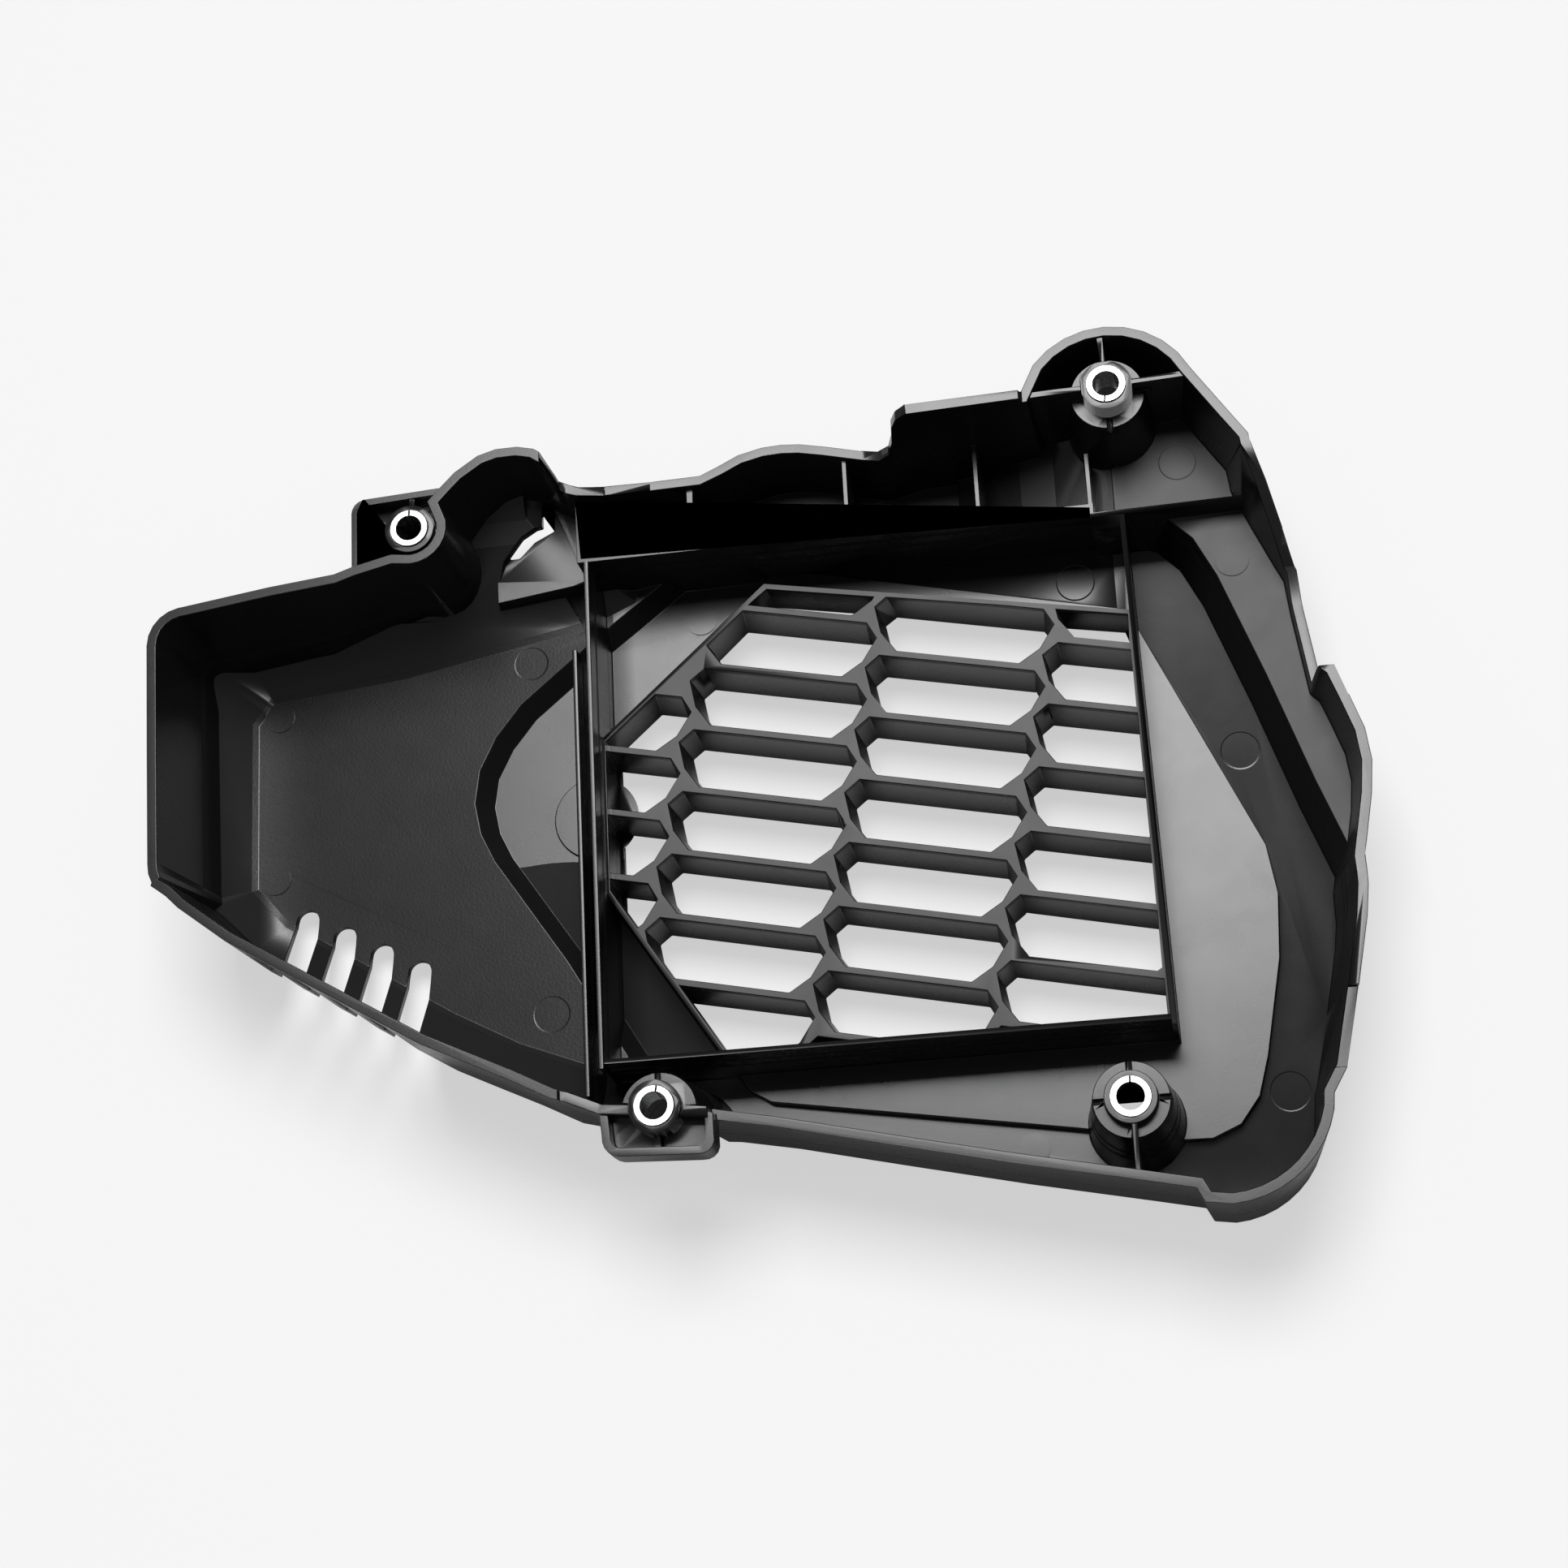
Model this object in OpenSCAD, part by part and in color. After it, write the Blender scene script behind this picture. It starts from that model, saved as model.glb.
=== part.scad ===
// Radiator guard of a scooter: one black injection moulding with an open honeycomb
// grille, and four pressed-in steel collars for its bolts. Millimetres, +Z up.
// The part lies on its outer face with the engine side up. The origin is the middle of
// the outer box on the surface below it, and +X runs along the long top of the duct.

/* [Moulding] */
// Wall thickness of the moulding
wall = 2.4; // [1.8:0.1:3]
// Outward lean of the walls on the left and right, in mm per mm of height
draft = 0.12; // [0.04:0.01:0.16]
// Outward lean of the walls along the top and bottom
draft_long = 0.05; // [0.02:0.01:0.1]
// Outward lean of the wall with the vents
draft_low = 0.02; // [0.01:0.01:0.1]
// Height of the rim on the left side, above the resting surface
rim_left = 46; // [40:1:52]
// Height of the rim along the lower edge and the lower right corner
rim_low = 38; // [34:1:44]
// Height of the straight tab in the upper edge
rim_tab = 48; // [44:1:54]
// Height of the rim in the dip of the upper edge
rim_dip = 29; // [27:1:36]
// Height of the notch in the rim on the right
rim_notch = 25; // [23:1:30]
// Height of the lip that follows the notch
rim_lip = 37; // [30:1:40]

/* [Face] */
// Underside of the plain outer face, above the resting surface
face_z = 5; // [3:0.5:7]
// Underside of the panel that holds the grille
panel_z = 3; // [1:0.5:4]
// Width of the slope between the face and the left walls
slope_w = 8; // [5:0.5:10]
// Rise of that slope
slope_h = 5; // [3:0.5:7]
// Underside of the ledge on the right
ledge_z = 18.6; // [14:0.2:22]
// Underside of the ledge at the upper left
shelf_z = 14; // [10:0.5:18]

/* [Air duct] */
// Height of the duct ribs above the resting surface
duct_z = 27.4; // [22:0.2:32]
// Thickness of the thin ribs
rib = 1.2; // [0.8:0.1:2]

/* [Grille] */
// Height of the grille bars above the resting surface
bar_top = 16.5; // [12:0.5:20]
// Height of the foot of the grille bars, inside the panel
bar_front = 3.6; // [3.2:0.1:5]
// Spacing of the rows in one column
row_pitch = 15.7; // [14:0.1:18]
// Spacing of the columns
col_pitch = 42; // [38:0.5:46]
// Turn of the whole grille, in degrees
grille_turn = 12.2; // [0:0.1:20]
// How much narrower each opening is at the front, on every side
bar_taper = 1; // [0.4:0.1:1.6]

/* [Bolt collars] */
// Outside diameter of a collar
collar_od = 9; // [8:0.5:12]
// Bore of a collar, clearance for an M6 bolt
collar_id = 6.4; // [6.4:0.1:7]
// Length of a collar
collar_len = 9; // [7:0.5:12]
// How far a collar stands out of its boss
collar_proud = 0.6; // [0:0.1:1]
// Outside diameter of the boss around a collar
boss_od = 12; // [11:0.5:15]
// Outside diameter of the turret that carries the boss, at its top
turret_od = 17.4; // [16:0.2:20]

/* [Vents] */
// Width of a vent slot
vent_w = 5.8; // [4:0.2:7]
// Top of the vent slots in the side wall
vent_top = 40.4; // [24:1:42]

/* [Hidden] */
$fn = 64;
fn_small = 48;
eps = 0.01;
far = 160;
rim_z = 46;
sky = 60;
in_face = face_z + wall;
in_panel = panel_z + wall;
in_ledge = ledge_z + wall;
in_shelf = shelf_z + wall;
in_deep = wall;

// Bolt places: centre, top of the boss, step of the turret, height where the turret starts
bolt_ul = [-77, 71.6, 46, 46, 35];
bolt_ur = [91, 88.6, 46, 40.6, ledge_z + 0.5];
bolt_ll = [-22.7, -73.1, 45, 39.6, 0.5];
bolt_lr = [82.3, -77.8, 36, 32.6, 0.5];
bolts = [bolt_ul, bolt_ur, bolt_ll, bolt_lr];

boss_r = boss_od / 2;
turret_r = turret_od / 2;
seat_r = collar_od / 2;
cup_r = turret_r - wall;
gap_r = boss_r + 0.6;
turret_draft = 0.09;
cup_draft = 0.07;

// Points on an arc, for rounded corners in the outlines
function arc(c, r, a0, a1, n) = [for (i = [0:n]) [c[0] + r * cos(a0 + (a1 - a0) * i / n),
  c[1] + r * sin(a0 + (a1 - a0) * i / n)]];

// Outer outline at the rim, counterclockwise, in stretches of one lean and rim height
low_left = [[-122.3, -26.3], [-76.2, -54.6], [-55.6, -64.7], [-46, -69.8]];
low_mid = [[-35.5, -73.4], [-11, -75.8], [2.7, -78.5], [29.7, -84.9], [55.9, -91], [84.8, -97.2]];
low_right = concat([[94.8, -99.4], [96.4, -102.6]], arc([101.6, -78.4], 25.1, 272, 346, 9));
right_low = [[129.8, -75.3], [134.1, -57.5], [137.6, -42], [138.6, -34.8], [138.7, -27.8]];
right_lip = [[139.6, -23.2], [141.6, -13.7], [142.5, -5.9], [141.7, 1.7], [139, 10], [136.4, 17.4]];
right_notch = [[133.6, 18.4], [131.4, 36], [130.6, 45]];
right_up = [[128.6, 53], [125.2, 61], [121.6, 70]];
top_right = concat([[118.4, 78.8]], arc([91, 81.9], 21.6, 24, 140, 9));
top_tab = [[70.8, 88.9], [43.8, 88.4], [40, 87.6]];
top_dip = [[34.8, 85.4], [30.7, 86.4], [22.1, 88.6], [15.8, 90], [11.3, 90.4], [6.5, 90.2], [0.6, 88.9], [-4.3, 86.6],
  [-9, 84.6], [-21.5, 83.9], [-32.4, 83.5], [-38.8, 84.3]];
top_left = [[-43.2, 86.8], [-46.2, 88.9], [-50.3, 89.9], [-55.5, 89.9], [-60, 88.7], [-65.8, 85], [-69.7, 81.2]];
notch = concat([[-72.6, 78.2]], arc(bolt_ul, gap_r, 8, -90, 7), [[-81.6, 65.6], [-91.2, 63.5]]);
left_top = concat([[-112, 60.6], [-133.6, 57.9]], arc([-133.4, 48.8], 9.1, 98, 180, 5));
left_low = concat([[-142, 22]], arc([-132.2, -6.2], 9.2, 178, 209, 2));
corner_low = arc([-132.2, -6.2], 9.2, 224, 240, 1);

stretches = [[low_left, draft_low, rim_left], [low_mid, draft_long, rim_low], [low_right, draft_long, rim_low],
  [right_low, draft, rim_low], [right_lip, draft, rim_lip], [right_notch, draft, rim_notch], [right_up, draft, 36],
  [top_right, draft_long, rim_left], [top_tab, draft_long, rim_tab], [top_dip, draft_long, rim_dip],
  [top_left, draft_long, rim_left], [notch, draft_long, rim_left], [left_top, draft, rim_left], [left_low, draft, rim_left],
  [corner_low, draft / 2, rim_left]];
plan = [for (s = stretches) for (p = s[0]) p];
leans = [for (s = stretches) for (p = s[0]) s[1]];
rims = [for (s = stretches) for (p = s[0]) s[2]];

// Each corner moved inwards by its own distance in d, along the line that halves it
function unit(v) = v / norm(v);
function left_of(v) = [-v[1], v[0]];
function moved(p, d) = [for (i = [0:len(p) - 1]) let (
  a = left_of(unit(p[i] - p[(i + len(p) - 1) % len(p)])),
  b = left_of(unit(p[(i + 1) % len(p)] - p[i]))) p[i] + d[i] * (a + b) / (1 + a * b)];
function inset(p, d) = moved(p, [for (q = p) d]);
function at_z(p, z) = [for (q = p) [q[0], q[1], z]];

// The outline at height z, t inside the outer surface
function level(t, z) = at_z(moved(plan, [for (i = [0:len(plan) - 1]) t + leans[i] * (rims[i] - z)]), z);

// A closed solid through rings of equal length, from the lowest up
module skin(rings) {
  n = len(rings[0]);
  pts = [for (r = rings) for (q = r) q];
  sides = [for (k = [0:len(rings) - 2]) for (i = [0:n - 1]) for (t = [0, 1])
    let (a = k * n + i, b = k * n + (i + 1) % n)
    t == 0 ? [a, a + n, b] : [b, a + n, b + n]];
  bottom = [for (i = [0:n - 1]) i];
  top = [for (i = [0:n - 1]) (len(rings) - 1) * n + n - 1 - i];
  polyhedron(points = pts, faces = concat([bottom], sides, [top]), convexity = 12);
}

// Everything within the drafted side walls, t inside the outer surface
module column(t) {
  skin([level(t, -2), level(t, sky)]);
}

// Inner edge of the slopes that join the face to the left walls; elsewhere it runs out past them
bowl_edge = [[-127.2, -3], [-119, -12.4], [-78, -38.6], [-62, -47.4], [-38, -57], [160, -180], [160, 120], [-30, 120], [-30, 62], [-43.3, 56.4],
  [-89.2, 48], [-122.9, 45], [-127.2, 39.4]];
slope_ends = 3;

module bowl(z) {
  wide = inset(bowl_edge, -slope_ends * slope_w);
  skin([at_z(bowl_edge, z), at_z(wide, z + slope_ends * slope_h), at_z(wide, sky + 1)]);
}

// Foot and upper edge of the deep frame around the grille; it runs out past the walls
deep_v = [[-52, 45.5], [-60.4, 38.8], [-67, 30.8], [-71.4, 22.4], [-72.8, 13.8], [-71.4, 5.6], [-68, -1.8], [-60.4, -13.4],
  [-50.6, -28.4], [-36, -54], [-35, -64], [-42, -90]];
deep_edge = concat([[-20, 69.6], [-41, 54.2]], deep_v, [[-20, -130], [160, -130], [160, 72], [20, 72]]);
deep_lean = [for (p = deep_edge) 4.4];

module deep(t, foot, top) {
  skin([at_z(moved(deep_edge, [for (d = deep_lean) d + t]), foot), at_z(moved(deep_edge, [for (d = deep_lean) t]), top)]);
}

// Panel that carries the grille, one step above the deep frame
panel_edge = [[-38.2, 29.8], [4.2, 66.4], [11, 66.4], [89.7, 47.9], [92.2, 43.4], [117.7, -14.4], [119.4, -26.4],
  [118.2, -41.9], [113.4, -64.5], [110.6, -73.8], [105.8, -80], [99.1, -82.8], [91.7, -82.6], [68.9, -78], [-2.5, -66],
  [-7.2, -63.1], [-14, -54], [-38.2, -16]];

// Ledge on the right: its edge, and the foot of the wall below it
ledge_edge = [[90, 65.7], [97, 65.6], [102.4, 63.4], [107.6, 58], [112.4, 48], [121.4, 22.3], [130, -4.5], [137, -24], [141, -40]];

module ledge(t, foot, top) {
  edge = [for (p = ledge_edge) [p[0] + t, p[1]]];
  base = [for (p = ledge_edge) [p[0] + t - 4 * (top - foot) / in_ledge, p[1] - 0.8]];
  back = [[far, -40], [far, 110], [90 + t, 110]];
  skin([at_z(concat(base, back), foot), at_z(concat(edge, back), top)]);
}

// Ledge at the upper left, with its slanted end
function shelf_edge(t) = [[-63 + t, 62 + t], [-44, 64.4 + t], [-22.5 - t, 68 + t], [-12.5 - t, 81.5], [-12.5 - t, 100],
  [-51 + t, 100], [-51 + t, 80], [-56 + t, 77.6], [-61.2 + t, 72.4], [-63 + t, 67]];

module shelf(t, foot, top) {
  reach = shelf_edge(t);
  lean = [for (p = reach) [p[0] + (p[0] > -40 ? 2 : p[0] < -48 ? -1 : 0), p[1] - (p[1] < 69 ? 2.4 : 0)]];
  skin([at_z(lean, foot), at_z(reach, top)]);
}

module over_shelf(t, z) {
  translate([0, 0, z - 0.5])
    linear_extrude(height = sky - z)
      polygon(inset(shelf_edge(t), 0.5));
  beside_shelf(t);
}

// Rising wall foot on the left of that ledge
module beside_shelf(t) {
  beside = [[-88, 60], [-62 + t, 60], [-62 + t, 67.2], [-60.3 + t, 71.9], [-55.4 + t, 76.8], [-50 + t, 79.3], [-50 + t, 98],
    [-88, 98]];
  skin([[for (p = beside) [p[0], p[1], 13.4 - 1.1 * t + 0.42 * (p[1] - 60)]], at_z(beside, sky + 2)]);
}

// Rising floor beside the upper right turret
module ramp(drop) {
  translate([0, duct_top_y - 0.9 + drop / 2, 0])
    rotate([90, 0, 0])
      mirror([0, 0, 1])
        linear_extrude(height = 40)
          polygon([[52 + drop, -1.5], [52 + drop, 9.5 - drop], [62, 13.4 - drop], [76, 17.4 - drop],
          [93, in_ledge - drop - 0.1], [93, -1.5]]);
}

module outside() {
  difference() {
    intersection() {
      column(0);
      union() {
        bowl(face_z);
        deep(-wall * 0.8, 0, face_z + 1);
        over_shelf(wall, shelf_z);
      }
    }
    translate([0, 0, -1])
      linear_extrude(height = panel_z + 1)
        polygon(inset(panel_edge_ccw, wall * 0.8));
    ledge(wall, -1, ledge_z);
    shelf(wall, -1, shelf_z);
    ramp(wall);
  }
}

panel_edge_ccw = [for (i = [len(panel_edge) - 1:-1:0]) panel_edge[i]];

module inside() {
  difference() {
    intersection() {
      column(wall);
      union() {
        bowl(in_face);
        deep(0, in_deep, in_face + 1);
        over_shelf(0, in_shelf);
      }
    }
    linear_extrude(height = in_panel)
      polygon(panel_edge_ccw);
    ledge(0, 0, in_ledge);
    shelf(0, 0, in_shelf);
    ramp(0);
  }
}

// What is taken off above the rim: profiles of its height along each side
module rim_top() {
  translate([0, 110, 0])
    rotate([90, 0, 0])
      linear_extrude(height = 50)
        polygon([[-far, 70], [-far, rim_left], [-44.8, rim_left], [-43.2, rim_dip + 2.6], [-41.6, rim_dip + 1.8],
          [-32, rim_dip + 2], [-21, rim_dip + 1], [-9, rim_dip], [31, rim_dip], [35, rim_dip + 0.6], [37.6, rim_dip + 2],
          [39, rim_dip + 7], [39.8, rim_tab - 5], [41.2, rim_tab - 1.6], [43.6, rim_tab], [70.6, rim_tab],
          [71.2, rim_left], [far, rim_left], [far, 70]]);
}

module rim_right() {
  translate([105, 0, 0])
    rotate([90, 0, 90])
      linear_extrude(height = 60)
        polygon([[74, 70], [74, rim_left], [70, rim_left], [62, rim_left - 4], [53, rim_left - 12], [46, rim_notch + 2],
          [38, rim_notch], [17.5, rim_notch], [17.4, rim_lip], [-28, rim_lip], [-32, rim_low], [-57.4, rim_low],
          [-57.5, rim_low - 1], [-75.3, rim_low - 1], [-75.4, rim_low], [-120, rim_low], [-120, 70]]);
}

module rim_bottom() {
  translate([0, -45, 0])
    rotate([90, 0, 0])
      linear_extrude(height = 70)
        polygon([[-far, 70], [-far, rim_left], [-44.4, rim_left], [-44.3, 44.6], [-36, 43], [-11.2, 43], [-11.1, rim_low],
          [far, rim_low], [far, 70]]);
}

module rim_cut() {
  rim_top();
  rim_right();
  rim_bottom();
  translate([-far, -100, rim_left])
    cube([far - 44.8, 200, sky - rim_left + 10]);
}

// Ribs: thin walls between two points, from one height to another
module fin(a, b, z0, z1, t) {
  along = b - a;
  translate([a[0], a[1], z0])
    rotate([0, 0, atan2(along[1], along[0])])
      translate([0, -t / 2, 0])
        cube([norm(along), t, z1 - z0]);
}

// A rib whose foot changes height on its way: feet holds pairs of distance from a and height
module fence(a, b, feet, t) {
  along = b - a;
  length = norm(along);
  translate([a[0], a[1], 0])
    rotate([0, 0, atan2(along[1], along[0])])
      translate([0, t / 2, 0])
        rotate([90, 0, 0])
          linear_extrude(height = t)
            polygon(concat(feet, [[length, duct_z], [0, duct_z]]));
}

duct_top_y = 66.4;
module duct() {
  fence([-40.4, duct_top_y], [85.2, duct_top_y], [[0, in_shelf - 1], [18.4, in_shelf - 1], [20.4, 1], [94.9, 1], [94.9, 8.4],
    [102.4, 12], [116.4, 16], [124.4, 18.2], [125.6, 18.2]], rib);
  fin([84.6, 66.9], [84.6, 63.4], 18.4, duct_z, rib);
  fence([84.2, 63.9], [121, 64.4], [[0, 1], [14, 1], [15, in_ledge - 1], [36.8, in_ledge - 1]], rib);
  fence([-38.2, 66.5], [-38.2, -59.8], [[0, 1], [114, 1], [116, in_face - 1], [126.3, in_face - 1]], rib);
  fence([-41.6, 43.6], [-41.6, -66], [[0, 1], [84, 1], [86, in_face - 1], [102, in_face - 1], [109.6, 16]], rib);
  fence([91.6, 64], [93.2, -60.2], [[0, 1], [20, 1], [22, in_panel - 1], [124.2, in_panel - 1]], rib);
  fence([-38.3, -58.2], [93.6, -58.6], [[0, in_face - 1], [3, in_face - 1], [4, 1], [27, 1], [29, in_panel - 1],
    [131.9, in_panel - 1]], rib);
}

// Short ribs from the duct to the upper wall: place, end, foot
module pocket_ribs() {
  for (r = [[-39.8, 82.2, in_shelf - 1], [-12, 83.2, 1], [26.2, 86.4, 1], [57.8, 86.4, 10.8], [84.4, 80, 18.6]])
    fin([r[0], duct_top_y], [r[0], r[1]], r[2], duct_z, rib);
}

// Grille: one block of bars, and the tapered openings that are cut out of it
grille_edge = [[-38.2, 23.8], [-38.2, -14.5], [-10.4, -58.2], [92.8, -58.2], [91.8, 43.2], [3.6, 59.7]];
cell = [[18.8, 7.05], [-18.8, 7.05], [-21.8, 3.5], [-19.3, -2.8], [-14.9, -7.05], [14.9, -7.05], [19.3, -2.8], [21.8, 3.5]];
cell_home = [41, -3.3];
row_step = row_pitch * [-sin(grille_turn), -cos(grille_turn)];
col_step = col_pitch * [cos(grille_turn), -sin(grille_turn)];

// Rows that each column needs to fill the grille
column_rows = [[-2, -1, 4], [-1, -4, 3], [0, -3, 4], [1, -4, 3]];

module opening() {
  slope = bar_taper / (bar_top - panel_z);
  skin([at_z(inset(cell, bar_taper + slope), panel_z - 1), at_z(inset(cell, -2 * slope), bar_top + 2)]);
}

module openings() {
  intersection() {
    for (c = column_rows)
      for (j = [c[1]:c[2]])
        translate(cell_home + c[0] * col_step + (j + 0.5 * abs(c[0] % 2)) * row_step)
          rotate([0, 0, -grille_turn])
            opening();
    translate([0, 0, -2])
      linear_extrude(height = 30)
        polygon(inset(grille_edge, rib));
  }
}

module bars() {
  translate([0, 0, bar_front])
    linear_extrude(height = bar_top - bar_front)
      polygon(grille_edge);
}

// Turret, boss and steel seat at one bolt
module turret(b) {
  rise = b[3] - b[4];
  translate([b[0], b[1], b[4]])
    cylinder(h = rise, r1 = turret_r + turret_draft * rise, r2 = turret_r);
}

module boss(b) {
  base = b[2] - collar_len + collar_proud;
  translate([b[0], b[1], base])
    cylinder(h = b[2] - base, r = boss_r);
}

module cup(b) {
  cup_top = b[2] - collar_len + collar_proud;
  translate([b[0], b[1], -1])
    cylinder(h = cup_top + 1, r1 = cup_r + cup_draft * (cup_top + 1), r2 = cup_r);
}

module seat(b) {
  translate([b[0], b[1], b[2] - collar_len - 1])
    cylinder(h = collar_len + 4, r = seat_r);
}

// Small grooves across the step of a turret
module ring_notches(b) {
  for (a = [0, 90, 180, 270])
    translate([b[0], b[1], b[3] - 1.2])
      rotate([0, 0, a])
        translate([boss_r + 0.2, -0.6, 0])
          cube([4, 1.2, 3]);
}

module turrets() {
  for (b = [bolt_ur, bolt_lr])
    turret(b);
  intersection() {
    turret(bolt_ll);
    translate([-34.5, -70.1, -1])
      rotate([0, 0, -8.5])
        translate([-20, 0, 0])
          cube([70, 40, 60]);
  }
}

// Pockets that carry the two bosses outside the main wall
pocket_floor = 3.2;
ul_base = 36.2;
ll_base = 35;
ul_edge = concat([[-71.2, 66], [-66, 80.6]], [[-70.3, 82.3], [-88.6, 81.4]], arc([-88.6, 78], 3.4, 100, 180, 4), [[-92, 62]]);
ll_edge = concat([[-10, -72], [-36.2, -70], [-35.4, -78]], arc([-31, -79], 4.4, 190, 262, 4), [[-14, -84.2]], arc([-13, -81], 3.2, 280, 350, 3));

module flange_block(edge, z0, z1) {
  translate([0, 0, z0])
    linear_extrude(height = z1 - z0)
      polygon(edge);
}

module flanges() {
  difference() {
    union() {
      flange_block(ul_edge, ul_base, 44);
      flange_block(ll_edge, ll_base, 42.4);
    }
    flange_block(inset(ul_edge, 1.6), ul_base + pocket_floor, sky);
    flange_block(inset(ll_edge, 2), ll_base + pocket_floor, sky);
    column(wall / 2);
  }
  fin([-77, 71.6], [-77, 81.4], 38, 43.6, rib);
  fin([-77, 71.6], [-91, 72.6], 38, 41.4, 5);
  fin([-22.7, -73.1], [-22.7, -83], 37, 42, rib);
  fin([-22.7, -73.1], [-35, -72.6], 37, 42, rib);
}

module bolt_ribs() {
  fin([72.6, 88.2], [91, 88.6], 16, 45.6, rib);
  fin([91, 88.6], [109.4, 89.4], 16, 45.6, rib);
  fin([91, 88.6], [90.4, 101.6], 16, 45.6, rib);
  fin([82.3, -77.8], [82.6, -95], 2, 35.6, rib);
}

// Vents at the lower left
vent_first = [-114.6, -12.3];
vent_step = [9.35, -5.1];
vent_turn = -6.4;
module vents() {
  for (i = [0:3])
    translate(concat(vent_first + i * vent_step, 0))
      rotate([0, 0, vent_turn]) {
        cylinder(h = vent_top, d = vent_w);
        translate([-vent_w / 2, -30, 0])
          cube([vent_w, 30, vent_top]);
      }
}

// Round marks of the ejector pins, and the disc at the gate
marks = [[-14.6, 57.4, in_deep, 3.9], [78.4, 57, in_deep, 4.6], [105.7, 77.7, in_ledge, 4.4], [116.2, 51.4, in_ledge, 4],
  [114, 10.1, in_deep, 4.6], [117.6, -72.8, in_deep, 4.6], [58.2, -81.3, in_deep, 3.6], [-57, 48.6, in_face, 4.2],
  [-54.1, -40.9, in_face, 4.4], [-121.8, 41.1, in_face, 3.8], [-122.7, -1.1, in_face, 3.8]];
mark_h = 0.3;
module pin_marks() {
  for (m = marks)
    translate([m[0], m[1], m[2] - 0.5])
      cylinder(h = 0.5 + mark_h, r = m[3], $fn = fn_small);
  translate([-42.7, 8.5, in_deep - 0.5])
    cylinder(h = 1.1, r = 10.4);
}

// The walls and floors, kept as one faceted solid
module pan() {
  resize([0, 0, 0])
    difference() {
      outside();
      inside();
      rim_cut();
    }
}

module guard_shell() {
  color("#2a2a2c")
    difference() {
      union() {
        pan();
        pin_marks();
        duct();
        pocket_ribs();
        bars();
        turrets();
        flanges();
        bolt_ribs();
        for (b = bolts)
          boss(b);
      }
      openings();
      vents();
      for (b = bolts) {
        cup(b);
        seat(b);
      }
      for (b = [bolt_ur, bolt_ll, bolt_lr])
        ring_notches(b);
    }
}

module collar(b) {
  color("#c9ccd0")
    translate([b[0], b[1], b[2] + collar_proud - collar_len])
      difference() {
        cylinder(h = collar_len, r = seat_r);
        translate([0, 0, -1])
          cylinder(h = collar_len + 2, d = collar_id);
      }
}

module collar_upper_left() {
  collar(bolt_ul);
}

module collar_upper_right() {
  collar(bolt_ur);
}

module collar_lower_left() {
  collar(bolt_ll);
}

module collar_lower_right() {
  collar(bolt_lr);
}

guard_shell();
collar_upper_left();
collar_upper_right();
collar_lower_left();
collar_lower_right();
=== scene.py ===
# %% [markdown]
# # A moulded radiator guard, seen from its engine side
#
# The guard is one black plastic moulding with four zinc-plated steel collars pressed into it.
# The CAD frame has the true sizes, so this script only loads it, gives it its finishes and lights it.
# Each step below says what the real piece is and why it is made in the way that it is.

import math

import bmesh
import bpy
from mathutils import Matrix, Vector
from mathutils.bvhtree import BVHTree


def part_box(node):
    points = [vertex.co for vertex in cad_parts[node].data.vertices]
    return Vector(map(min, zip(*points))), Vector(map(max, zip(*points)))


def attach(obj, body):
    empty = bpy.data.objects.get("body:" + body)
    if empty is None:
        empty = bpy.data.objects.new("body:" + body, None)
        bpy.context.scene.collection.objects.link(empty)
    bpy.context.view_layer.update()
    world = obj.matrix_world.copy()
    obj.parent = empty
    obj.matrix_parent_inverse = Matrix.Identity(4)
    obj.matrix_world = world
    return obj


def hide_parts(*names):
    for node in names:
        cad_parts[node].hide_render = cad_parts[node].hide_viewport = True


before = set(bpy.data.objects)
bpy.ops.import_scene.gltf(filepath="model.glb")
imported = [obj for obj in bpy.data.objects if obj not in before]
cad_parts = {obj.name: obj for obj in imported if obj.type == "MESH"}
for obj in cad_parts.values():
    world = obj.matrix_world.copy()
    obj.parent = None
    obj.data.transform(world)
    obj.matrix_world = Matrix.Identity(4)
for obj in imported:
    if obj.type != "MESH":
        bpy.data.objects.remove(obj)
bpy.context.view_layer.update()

# %% [markdown]
# ## Small helpers for shader maths
#
# A material in Blender is a graph of nodes. Long graphs are hard to read when every node is wired by
# hand, so one small class wraps a socket and lets Python's own operators add the Math nodes.
# Any other node comes from its method `node`, which takes the settings first and then the inputs.


# %% A socket that can be added, multiplied and compared
class Wire:
    def __init__(self, tree, socket):
        self.tree = tree
        self.socket = socket

    def _math(self, operation, a, b):
        return Wire.node(self.tree, "ShaderNodeMath", {"operation": operation}, {0: a, 1: b})

    @staticmethod
    def node(tree, kind, settings=None, inputs=None, output=0):
        made = tree.nodes.new(kind)
        for name, value in (settings or {}).items():
            if name == "stops":
                ramp = made.color_ramp
                while len(ramp.elements) < len(value):
                    ramp.elements.new(0.5)
                for stop, (place, grey) in zip(ramp.elements, value):
                    stop.position = place
                    stop.color = (grey, grey, grey, 1)
            else:
                setattr(made, name, value)
        for name, value in (inputs or {}).items():
            if isinstance(value, Wire):
                tree.links.new(value.socket, made.inputs[name])
            else:
                made.inputs[name].default_value = value
        return Wire(tree, made.outputs[output])

    def __add__(self, other):
        return self._math("ADD", self, other)

    def __radd__(self, other):
        return self._math("ADD", other, self)

    def __sub__(self, other):
        return self._math("SUBTRACT", self, other)

    def __rsub__(self, other):
        return self._math("SUBTRACT", other, self)

    def __mul__(self, other):
        return self._math("MULTIPLY", self, other)

    def __rmul__(self, other):
        return self._math("MULTIPLY", other, self)

    def __gt__(self, other):
        return self._math("GREATER_THAN", self, other)

    def __lt__(self, other):
        return self._math("LESS_THAN", self, other)


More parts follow.
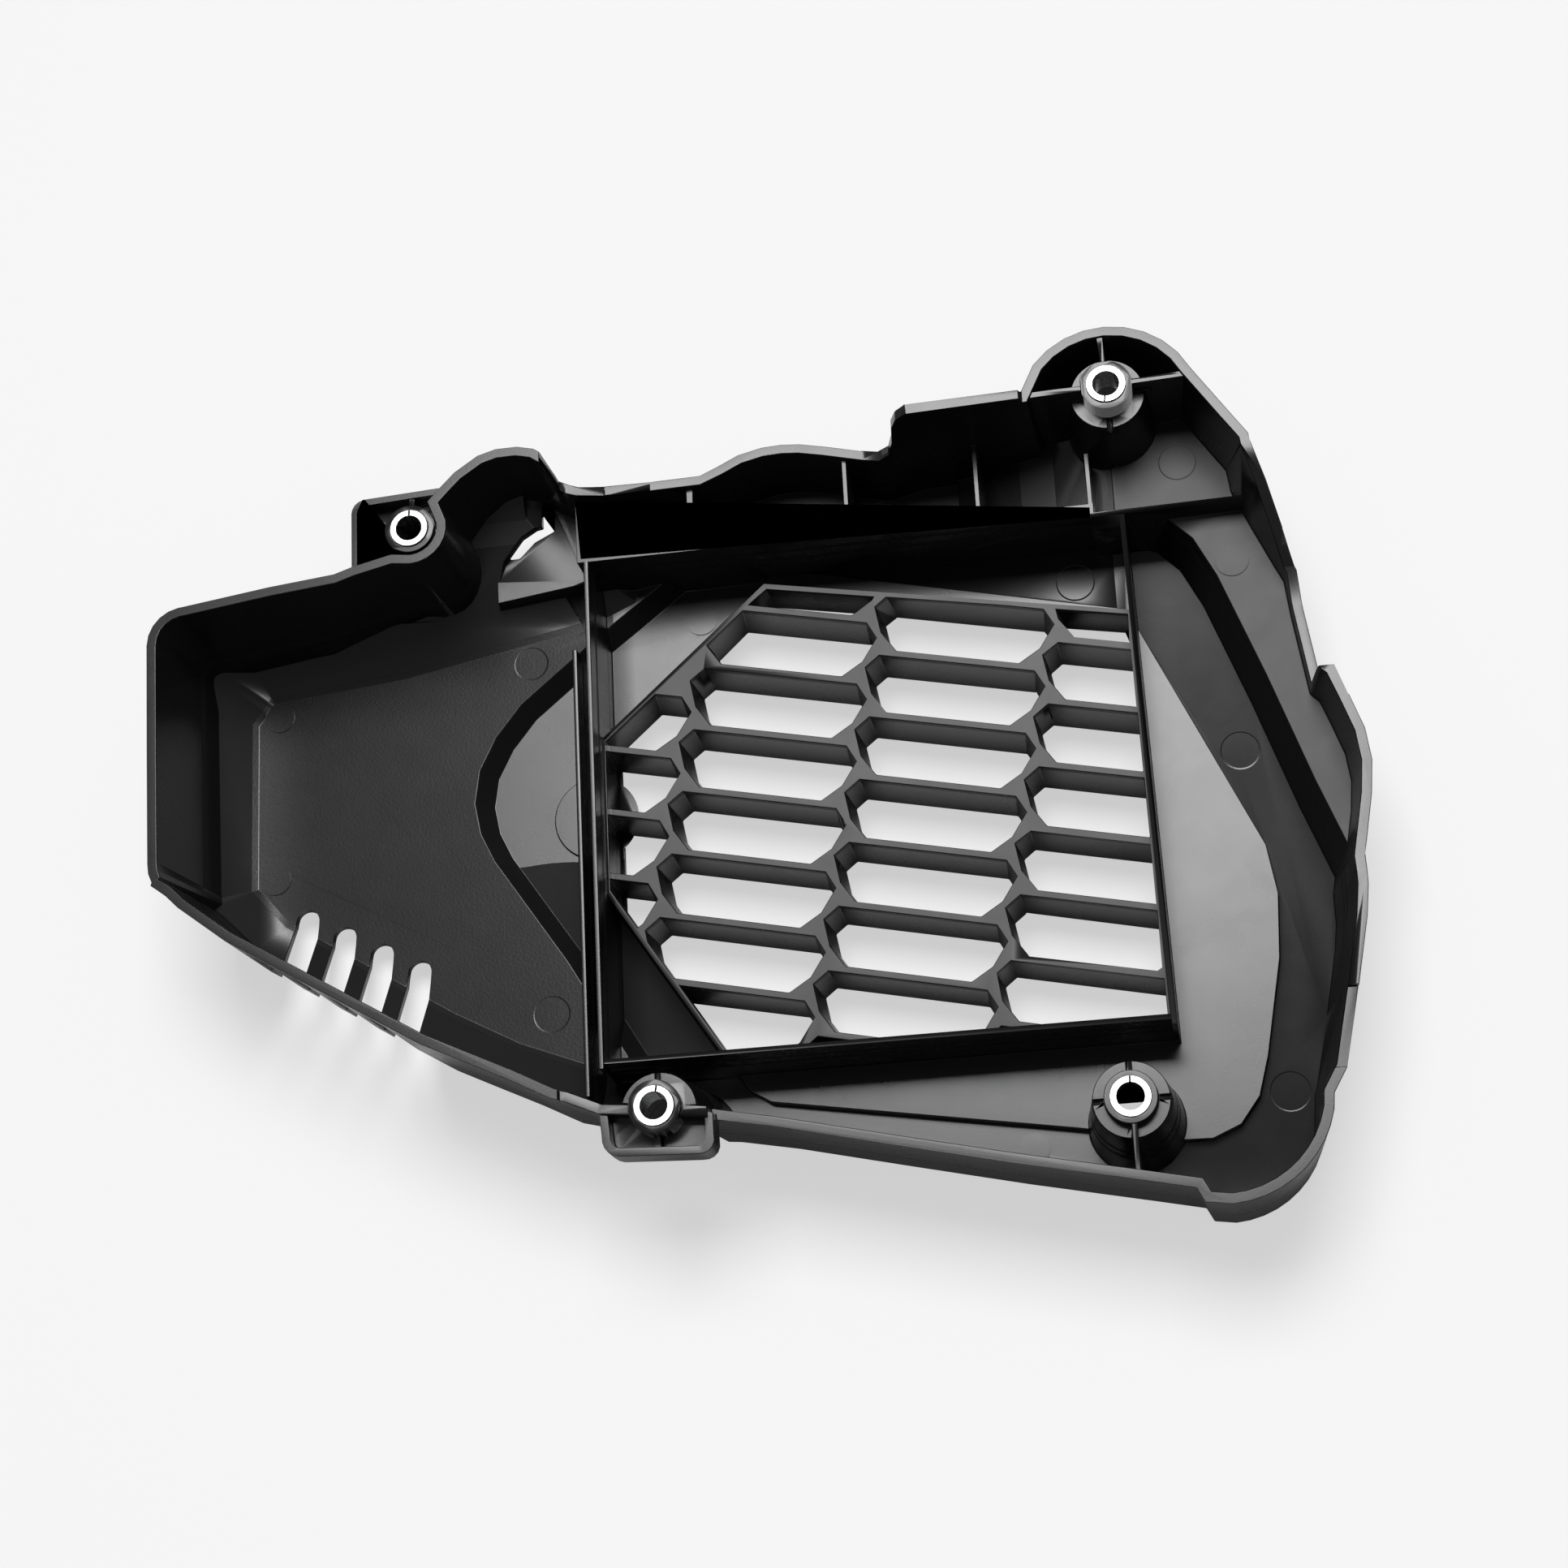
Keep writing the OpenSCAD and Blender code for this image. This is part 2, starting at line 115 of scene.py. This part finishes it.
def new_material(name):
    material = bpy.data.materials.new(name)
    material.use_nodes = True
    material.node_tree.nodes.clear()
    return material, material.node_tree


def finish_material(tree, surface):
    output = tree.nodes.new("ShaderNodeOutputMaterial")
    tree.links.new(surface.socket, output.inputs["Surface"])


print("shader helpers ready")

# %% [markdown]
# ## The black plastic
#
# Engine-side plastic is left as it comes from the tool: black all through, with the satin sheen of a
# polished mould. Its colour hardly changes, so what the eye reads is the gloss. Two slow noises make
# the sheen uneven, as resin that cools at different speeds does, and a very fine one gives the grain.
# The broad face at the narrow end comes from a coarser part of the tool, so it is duller. The channel
# beside the grille's panel falls a few degrees away from it, which a slow ramp of height stands for.

# %% Satin black polypropylene
FACE_HEIGHT = (0.0070, 0.0083)
FACE_RIGHT = -0.036
FACE_FALL = 0.1
CHANNEL_TOP = 0.0032
CHANNEL_LEFT = 0.088
CHANNEL_FALL = 0.17
LEDGE_HEIGHT = (0.0200, 0.0222)
BAR_HEIGHT = (0.0150, 0.0174)
CORNER_RIGHT = 0.004
CORNER_TOP = -0.012
CORNER_FOOT = -0.056
CORNER_FALL = 0.2
GATE_LEFT = -0.080
GATE_LINE = -0.004


def black_plastic():
    material, tree = new_material("black_moulding")
    place = Wire.node(tree, "ShaderNodeTexCoord", output="Object")
    x = Wire.node(tree, "ShaderNodeSeparateXYZ", {}, {0: place}, "X")
    y = Wire.node(tree, "ShaderNodeSeparateXYZ", {}, {0: place}, "Y")
    z = Wire.node(tree, "ShaderNodeSeparateXYZ", {}, {0: place}, "Z")
    clouds = Wire.node(tree, "ShaderNodeTexNoise", {}, {"Vector": place, "Scale": 22.0, "Detail": 4.0, "Roughness": 0.6}, "Fac")
    patches = Wire.node(tree, "ShaderNodeTexNoise", {}, {"Vector": place, "Scale": 120.0, "Detail": 3.0, "Distortion": 0.8}, "Fac")
    grain = Wire.node(tree, "ShaderNodeTexNoise", {}, {"Vector": place, "Scale": 1500.0, "Detail": 2.0}, "Fac")
    on_face = (z > FACE_HEIGHT[0]) * (z < FACE_HEIGHT[1]) * (x < FACE_RIGHT)
    on_ledge = (z > LEDGE_HEIGHT[0]) * (z < LEDGE_HEIGHT[1])
    on_bars = (z > BAR_HEIGHT[0]) * (z < BAR_HEIGHT[1]) * (x > FACE_RIGHT)
    in_corner = (z < BAR_HEIGHT[0]) * (x > FACE_RIGHT) * (x < CORNER_RIGHT) * (
        y < CORNER_TOP) * (y > CORNER_FOOT)
    by_gate = (z < FACE_HEIGHT[0]) * (x > GATE_LEFT) * (x < FACE_RIGHT) * (y < GATE_LINE + clouds * 0.004)
    in_channel = (z < CHANNEL_TOP) * (x > CHANNEL_LEFT)
    roughness = 0.19 + clouds * 0.1 + patches * 0.05 + on_face * 0.06 + on_ledge * 0.22 + on_bars * 0.2
    height = grain * (0.000006 + on_face * 0.00002) + in_channel * y * CHANNEL_FALL + on_face * x * FACE_FALL + (
        in_corner + by_gate) * y * CORNER_FALL
    bump = Wire.node(tree, "ShaderNodeBump", {}, {"Strength": 1.0, "Distance": 1.0, "Height": height}, "Normal")
    surface = Wire.node(tree, "ShaderNodeBsdfPrincipled", {}, {
        "Base Color": (0.01, 0.01, 0.0108, 1), "Roughness": roughness, "Normal": bump, "IOR": 1.5})
    finish_material(tree, surface)
    return material


plastic = black_plastic()
print("material:", plastic.name)

# %% [markdown]
# ## The zinc plate
#
# Bright zinc is a thin coat on rolled steel. It mirrors its surroundings, with a fine brushed haze from
# the rolling, so it is a metal with a low roughness that one noise breaks up.

# %% Bright zinc on steel
def zinc_plate():
    material, tree = new_material("zinc_plate")
    place = Wire.node(tree, "ShaderNodeTexCoord", output="Object")
    haze = Wire.node(tree, "ShaderNodeTexNoise", {}, {"Vector": place, "Scale": 900.0, "Detail": 3.0}, "Fac")
    surface = Wire.node(tree, "ShaderNodeBsdfPrincipled", {}, {
        "Base Color": (0.6, 0.61, 0.62, 1), "Metallic": 1.0, "Roughness": 0.2 + haze * 0.14})
    finish_material(tree, surface)
    return material


zinc = zinc_plate()
print("material:", zinc.name)

# %% [markdown]
# ## The moulding itself
#
# A moulded edge is never quite sharp: the tool leaves a small radius that catches the light. The CAD
# mesh is loose triangles, so a copy is merged, its flat stretches are joined into single faces, and a
# narrow bevel goes round every real edge.

# %% A merged copy of the shell
def deselect_all():
    bpy.ops.object.select_all(action="DESELECT")


def copy_of(node, name):
    deselect_all()
    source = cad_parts[node]
    piece = source.copy()
    piece.data = source.data.copy()
    piece.name = name
    bpy.context.scene.collection.objects.link(piece)
    piece.select_set(True)
    bpy.context.view_layer.objects.active = piece
    return piece


def merge_and_flatten(piece, merge=0.00001, flat_degrees=0.1):
    bpy.ops.object.mode_set(mode="EDIT")
    bpy.ops.mesh.select_all(action="SELECT")
    bpy.ops.mesh.remove_doubles(threshold=merge)
    bpy.ops.mesh.dissolve_limited(angle_limit=math.radians(flat_degrees))
    bpy.ops.object.mode_set(mode="OBJECT")


moulding = copy_of("guard_shell", "moulding")
merge_and_flatten(moulding)
print("moulding faces after merging:", len(moulding.data.polygons))

# %% Soft edges
LEAST_EDGE = 0.0006
LEAST_CORNER = math.radians(14)


def mark_edges(piece, degrees):
    mesh = bmesh.new()
    mesh.from_mesh(piece.data)
    weight = mesh.edges.layers.float.new("bevel_weight_edge")
    narrow = {corner.vert for face in mesh.faces for corner in face.loops if corner.calc_angle() < LEAST_CORNER}
    marked = 0
    for edge in mesh.edges:
        bends = edge.is_manifold and edge.calc_face_angle(0.0) > math.radians(degrees)
        if bends and edge.calc_length() > LEAST_EDGE and not narrow.intersection(edge.verts):
            edge[weight] = 1.0
            marked += 1
    surface = BVHTree.FromBMesh(mesh)
    mesh.to_mesh(piece.data)
    mesh.free()
    return marked, surface


def pull_back(piece, surface, farthest):
    pulled = 0
    for corner in piece.data.vertices:
        nearest, _, _, gap = surface.find_nearest(corner.co)
        if gap > farthest:
            corner.co = nearest
            pulled += 1
    return pulled


def soften(piece, width, degrees=28, steps=1):
    marked, surface = mark_edges(piece, degrees)
    bevel = piece.modifiers.new("soft_edges", "BEVEL")
    bevel.width = width
    bevel.segments = steps
    bevel.limit_method = "WEIGHT"
    bevel.use_clamp_overlap = False
    bpy.ops.object.modifier_apply(modifier=bevel.name)
    pulled = pull_back(piece, surface, width)
    bpy.ops.object.shade_smooth_by_angle(angle=math.radians(50))
    flat_first = piece.modifiers.new("flat_faces_stay_flat", "WEIGHTED_NORMAL")
    flat_first.mode = "FACE_AREA"
    flat_first.keep_sharp = True
    bpy.ops.object.modifier_apply(modifier=flat_first.name)
    print(piece.name, "edges softened:", marked, "corners pulled back:", pulled)


soften(moulding, 0.0002)
print("moulding faces after softening:", len(moulding.data.polygons))

# %% Dress the moulding
def dress(piece, material, node):
    piece.data.materials.clear()
    piece.data.materials.append(material)
    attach(piece, "root")
    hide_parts(node)


dress(moulding, plastic, "guard_shell")

# %% [markdown]
# ## The collars
#
# Each collar is a strip of steel rolled round and plated, with a soft inner and outer edge. The strip's
# ends don't quite meet, so a thin box is cut out of the finished ring where the seam lies.

# %% The seam of a rolled collar
SEAM_WIDTH = 0.00045


def cut_seam(collar, node, degrees):
    low, high = (Vector(corner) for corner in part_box(node))
    turn = math.radians(degrees)
    reach = high.x - low.x
    out = Vector((math.cos(turn), math.sin(turn), 0)) * (reach / 2)
    deselect_all()
    bpy.ops.mesh.primitive_cube_add(size=1, location=(low + high) / 2 + out, rotation=(0, 0, turn),
                                    scale=(reach / 2, SEAM_WIDTH, reach * 3))
    cutter = bpy.context.object
    bpy.ops.object.transform_apply(location=True, rotation=True, scale=True)
    deselect_all()
    collar.select_set(True)
    bpy.context.view_layer.objects.active = collar
    seam = collar.modifiers.new("seam", "BOOLEAN")
    seam.operation = "DIFFERENCE"
    seam.object = cutter
    bpy.ops.object.modifier_apply(modifier=seam.name)
    bpy.data.objects.remove(cutter)


# %% Four collars
for place, seam_at in (("upper_left", 88), ("upper_right", 262), ("lower_left", 80), ("lower_right", 88)):
    node = "collar_" + place
    collar = copy_of(node, "bush_" + place)
    merge_and_flatten(collar, flat_degrees=0.2)
    soften(collar, 0.00045, degrees=60, steps=3)
    cut_seam(collar, node, seam_at)
    dress(collar, zinc, node)
    print(collar.name, len(collar.data.polygons), "faces")

# %% [markdown]
# ## Floor, camera and light
#
# The guard lies on a white table. The floor's colour makes the background pale, not more light, and it
# still takes the object's shadow. One broad soft light hangs above and behind, so level faces shine and
# walls that face the camera stay dark.

# %% White floor
def white_floor():
    material, tree = new_material("white_floor")
    path = Wire.node(tree, "ShaderNodeLightPath", output="Is Camera Ray")
    place = Wire.node(tree, "ShaderNodeTexCoord", output="Object")
    toward_lamp = Wire.node(tree, "ShaderNodeSeparateXYZ", {}, {0: place}, "Y")
    paper = Wire.node(tree, "ShaderNodeBsdfDiffuse", {}, {"Color": (0.8, 0.8, 0.8, 1)})
    glow = Wire.node(tree, "ShaderNodeEmission", {}, {"Color": (1, 1, 1, 1), "Strength": 0.578 - toward_lamp * 0.14})
    seen_paper = Wire.node(tree, "ShaderNodeBsdfDiffuse", {}, {"Color": (0.34, 0.34, 0.34, 1)})
    seen = Wire.node(tree, "ShaderNodeAddShader", {}, {0: glow, 1: seen_paper})
    finish_material(tree, Wire.node(tree, "ShaderNodeMixShader", {}, {0: path, 1: paper, 2: seen}))
    return material


deselect_all()
bpy.ops.mesh.primitive_plane_add(size=6, location=(0, 0, -0.0004))
floor = bpy.context.object
floor.name = "floor"
bpy.ops.object.transform_apply(location=True, rotation=True, scale=True)
floor.data.materials.append(white_floor())

# %% Soft light
def soft_light(name, place, target, width, height, power):
    lamp = bpy.data.lights.new(name, "AREA")
    lamp.shape = "RECTANGLE"
    lamp.size = width
    lamp.size_y = height
    lamp.energy = power
    light = bpy.data.objects.new(name, lamp)
    light.location = place
    light.rotation_euler = (Vector(target) - Vector(place)).to_track_quat("-Z", "Y").to_euler()
    bpy.context.scene.collection.objects.link(light)
    return light


key = soft_light("softbox", (0.04, 0.65, 1.6), (0.02, 0.0, 0.0), 0.92, 0.8, 30)
world = bpy.data.worlds.new("studio")
world.use_nodes = True
world.node_tree.nodes["Background"].inputs["Color"].default_value = (1, 1, 1, 1)
world.node_tree.nodes["Background"].inputs["Strength"].default_value = 0.16
bpy.context.scene.world = world

# %% Camera
lens = bpy.data.cameras.new("camera")
lens.sensor_width = 36
lens.lens = 68.94
camera = bpy.data.objects.new("camera", lens)
right = Vector((0.98578, -0.04887, -0.16075))
up = Vector((0.09526, 0.95070, 0.29513))
back = right.cross(up)
camera.matrix_world = Matrix((
    (right.x, up.x, back.x, 0.10508),
    (right.y, up.y, back.y, -0.21098),
    (right.z, up.z, back.z, 0.69050),
    (0, 0, 0, 1)))
bpy.context.scene.collection.objects.link(camera)
bpy.context.scene.camera = camera
bpy.context.scene.view_settings.view_transform = "Standard"
